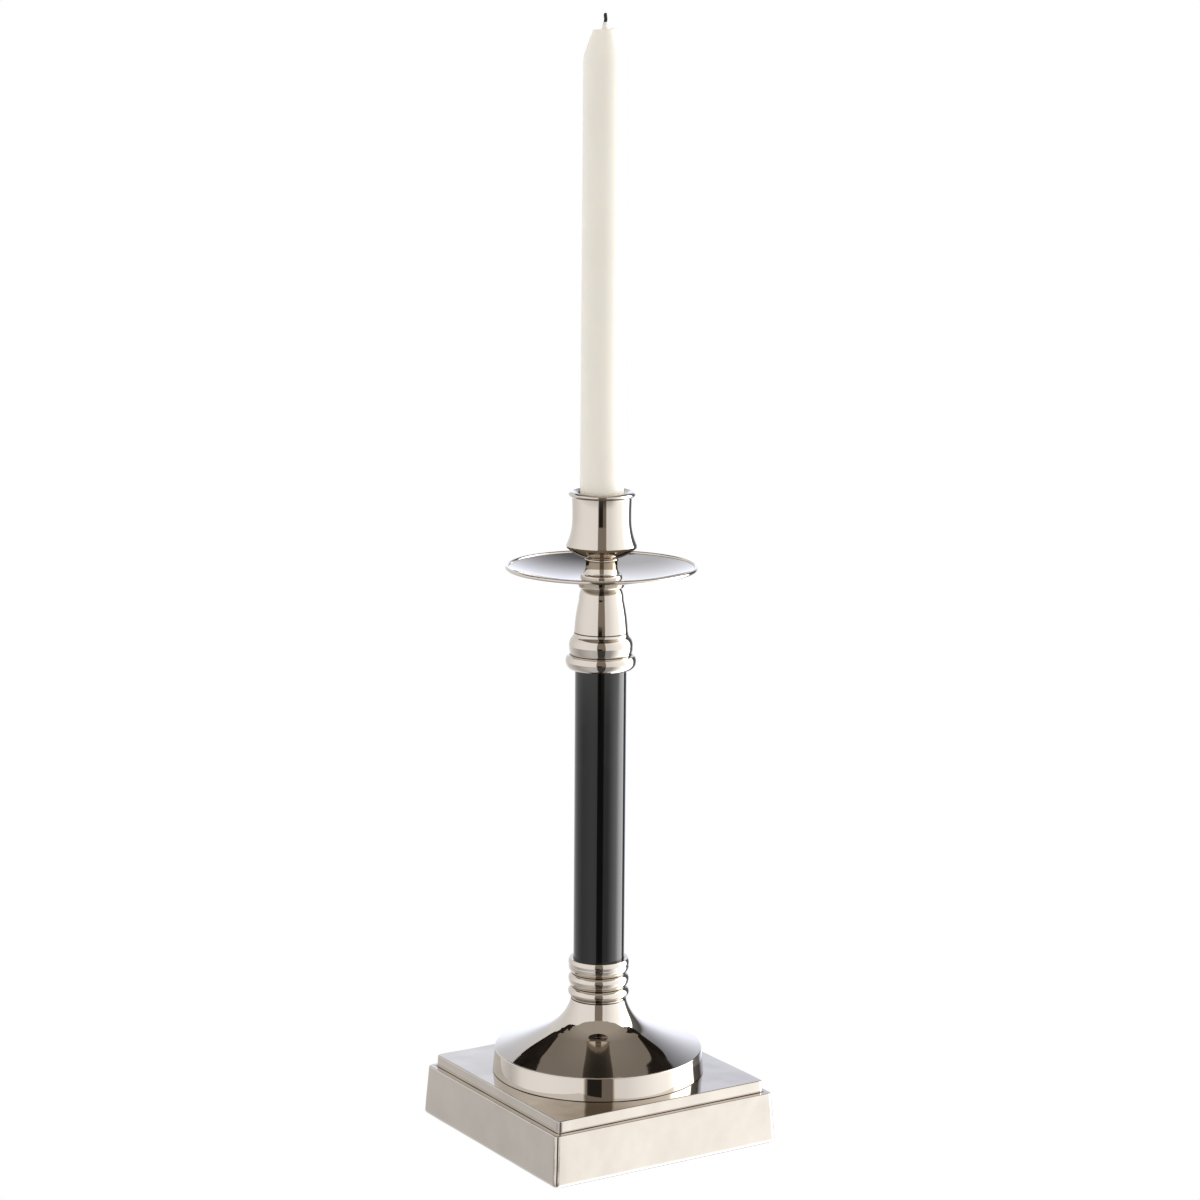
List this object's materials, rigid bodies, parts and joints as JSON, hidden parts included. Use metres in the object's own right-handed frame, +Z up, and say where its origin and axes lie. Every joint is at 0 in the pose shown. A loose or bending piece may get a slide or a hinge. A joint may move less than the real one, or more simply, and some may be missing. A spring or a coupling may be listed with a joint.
{
  "type": "candlestick",
  "caption": "Table candlestick with a square plinth, domed foot, black column, drip pan and cup that holds a removable dinner candle.",
  "frame": {"origin": "centre of the felt's underside, on the table", "axes": "+Z up along the column; X and Y square to the plinth's sides"},
  "size_m": [0.1328, 0.1328, 0.5663],
  "materials": {
    "polished_nickel": "mirror polished nickel plate on cast metal",
    "black_enamel": "black lacquer, satin to gloss",
    "zinc_steel": "zinc plated",
    "nylon": "turned nylon",
    "ballast_iron": "rough cast",
    "hardboard": "pressed board",
    "felt": "pressed wool felt",
    "wax": "satin paraffin wax",
    "wick": "braided cotton, charred at the tip"
  },
  "bodies": {
    "stand": {"felt_pad": "felt", "base_board": "hardboard", "board_screws": "zinc_steel", "plinth": "polished_nickel", "ballast_disc": "ballast_iron", "rod_washer": "zinc_steel", "lock_washer": "zinc_steel", "rod_nut": "zinc_steel", "tie_rod": "zinc_steel", "foot_dome": "polished_nickel", "ring_collar": "polished_nickel", "column_tube": "black_enamel", "lower_bush": "nylon", "upper_bush": "nylon", "bell_collar": "polished_nickel", "pan_seat": "polished_nickel", "drip_pan": "polished_nickel", "cup_stem": "polished_nickel", "candle_cup": "polished_nickel"},
    "candle": {"candle_wax": "wax", "candle_wick": "wick"}
  },
  "joints": [
    {"name": "candle_lift", "type": "slide", "parent": "stand", "child": "candle", "axis": [0, 0, 1], "range_m": [0, 0.045]}
  ]
}
